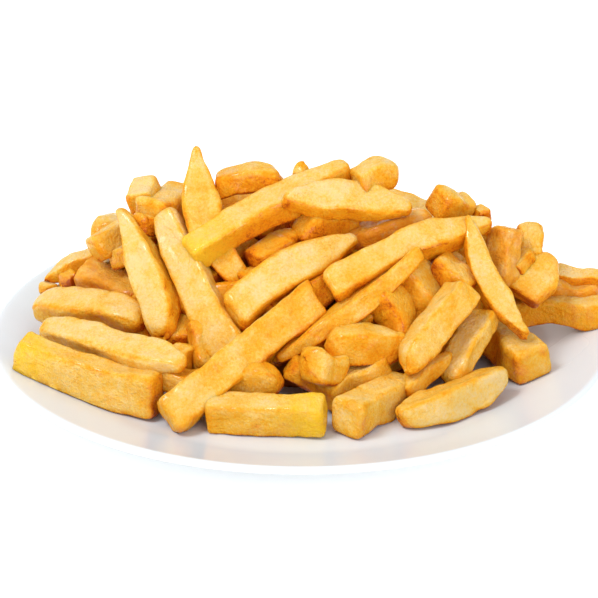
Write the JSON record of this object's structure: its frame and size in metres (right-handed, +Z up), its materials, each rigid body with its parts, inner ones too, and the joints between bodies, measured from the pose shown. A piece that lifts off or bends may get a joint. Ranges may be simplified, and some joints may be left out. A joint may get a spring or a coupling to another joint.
{
  "type": "plate of french fries",
  "caption": "A heaped portion of golden, hand-cut french fries on a plain round white dinner plate.",
  "frame": {"origin": "the middle of the plate's foot ring, on the surface that it stands on", "axes": "+Z up through the middle of the plate, -Y towards the viewer of the picture, +X to the viewer's right"},
  "size_m": [0.265, 0.265, 0.0973],
  "materials": {
    "potato": "fried potato, slightly oily and uneven, pale cream to golden with amber edges",
    "glaze": "smooth white glaze, soft gloss"
  },
  "bodies": {
    "root": {"fries": "potato", "plate": "glaze"}
  },
  "joints": []
}
